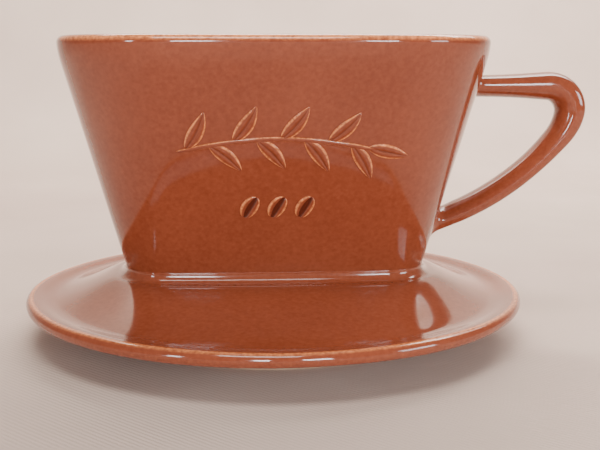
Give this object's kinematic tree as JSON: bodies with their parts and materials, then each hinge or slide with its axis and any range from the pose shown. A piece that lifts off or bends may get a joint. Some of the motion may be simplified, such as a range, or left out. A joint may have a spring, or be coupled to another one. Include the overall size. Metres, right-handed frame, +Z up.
{
  "type": "pour over dripper",
  "caption": "Wedge-shaped glazed stoneware filter holder on a round dished flange with a foot ring, a one-finger loop handle, inner ribs and drip holes.",
  "frame": {"origin": "centre of the foot ring, on the table", "axes": "+Z up, out through the open rim; +X towards the handle; the decorated front wall faces -Y"},
  "size_m": [0.148, 0.13, 0.0779],
  "materials": {
    "brown_glaze": "glossy chestnut-brown glaze, thinner and orange on edges",
    "raised_glaze": "the same glaze over low relief, thin and orange on its edges",
    "foot_glaze": "the same glaze, with a bare buff clay band where the ring stands"
  },
  "bodies": {
    "root": {"filter_wall": "brown_glaze", "drain_floor": "brown_glaze", "front_ribs": "brown_glaze", "back_ribs": "brown_glaze", "saucer_flange": "brown_glaze", "foot_ring": "foot_glaze", "handle": "brown_glaze", "sprig_relief": "raised_glaze", "bean_marks": "raised_glaze"}
  },
  "joints": []
}
